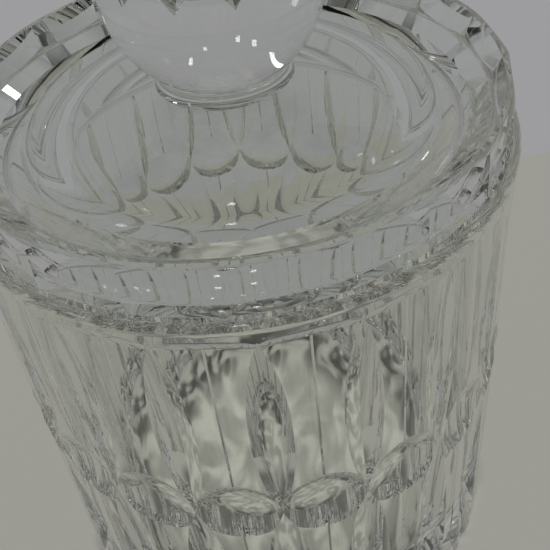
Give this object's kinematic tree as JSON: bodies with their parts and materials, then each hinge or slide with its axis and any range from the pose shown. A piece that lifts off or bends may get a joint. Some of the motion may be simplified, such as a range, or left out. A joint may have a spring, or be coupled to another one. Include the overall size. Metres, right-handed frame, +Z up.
{
  "type": "cut glass biscuit jar",
  "caption": "Cylindrical cut crystal biscuit jar with almond and ball cuts, a faceted drop-in lid and a solid ball knob.",
  "frame": {"origin": "centre of the round foot, on the table", "axes": "+Z up along the jar's axis; the corner between two panels and the tip of an almond cut lie on -Y"},
  "size_m": [0.1404, 0.1404, 0.2055],
  "materials": {
    "jar_glass": "polished clear lead crystal with cut pattern",
    "lid_glass": "polished clear lead crystal",
    "knob_glass": "polished clear lead crystal"
  },
  "bodies": {
    "jar": {"jar_body": "jar_glass"},
    "lid": {"lid_cover": "lid_glass", "lid_knob": "knob_glass"}
  },
  "joints": [
    {"name": "lid_lift", "type": "slide", "parent": "jar", "child": "lid", "axis": [0, 0, 1], "range_m": [0, 0.1]}
  ]
}
